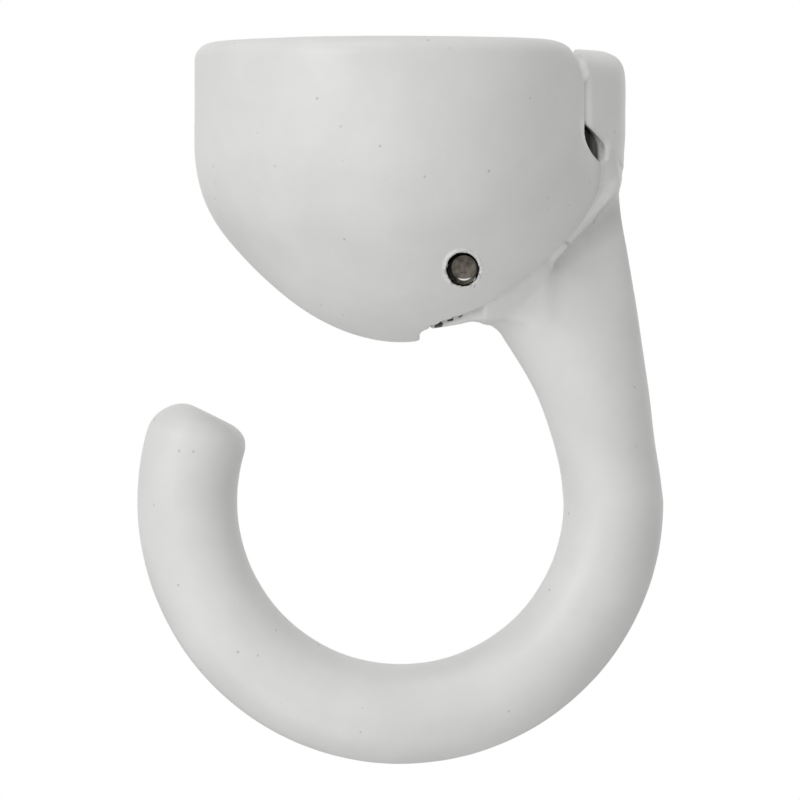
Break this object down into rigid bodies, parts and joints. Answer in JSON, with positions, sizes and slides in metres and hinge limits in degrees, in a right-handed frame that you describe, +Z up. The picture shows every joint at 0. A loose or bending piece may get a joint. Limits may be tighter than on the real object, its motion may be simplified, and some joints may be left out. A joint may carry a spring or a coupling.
{
  "type": "ceiling utility hook",
  "caption": "Ceiling hook with a domed canopy and a round-bar J hook that turns on a cross pin, so that its heel locks the canopy onto a ceiling screw.",
  "frame": {"origin": "middle of the canopy's flat ceiling face, on the line of the ceiling screw", "axes": "+Z up into the ceiling, +X towards the hook's shank and heel, the hook's mouth opening to -X, Y along the cross pin"},
  "size_m": [0.0486, 0.038, 0.0665],
  "materials": {
    "canopy_paint": "thick off-white paint over a casting, semi-gloss",
    "hook_paint": "thick off-white paint over a casting, semi-gloss",
    "pin_steel": "bare dark steel, sheared end"
  },
  "bodies": {
    "canopy": {"canopy": "canopy_paint", "pivot_pin": "pin_steel"},
    "hook": {"hook": "hook_paint"}
  },
  "joints": [
    {"name": "hook_pivot", "type": "hinge", "parent": "canopy", "child": "hook", "pos_m": [0.00565, 0, -0.021], "axis": [0, 1, 0], "range_deg": [0, 45]}
  ]
}
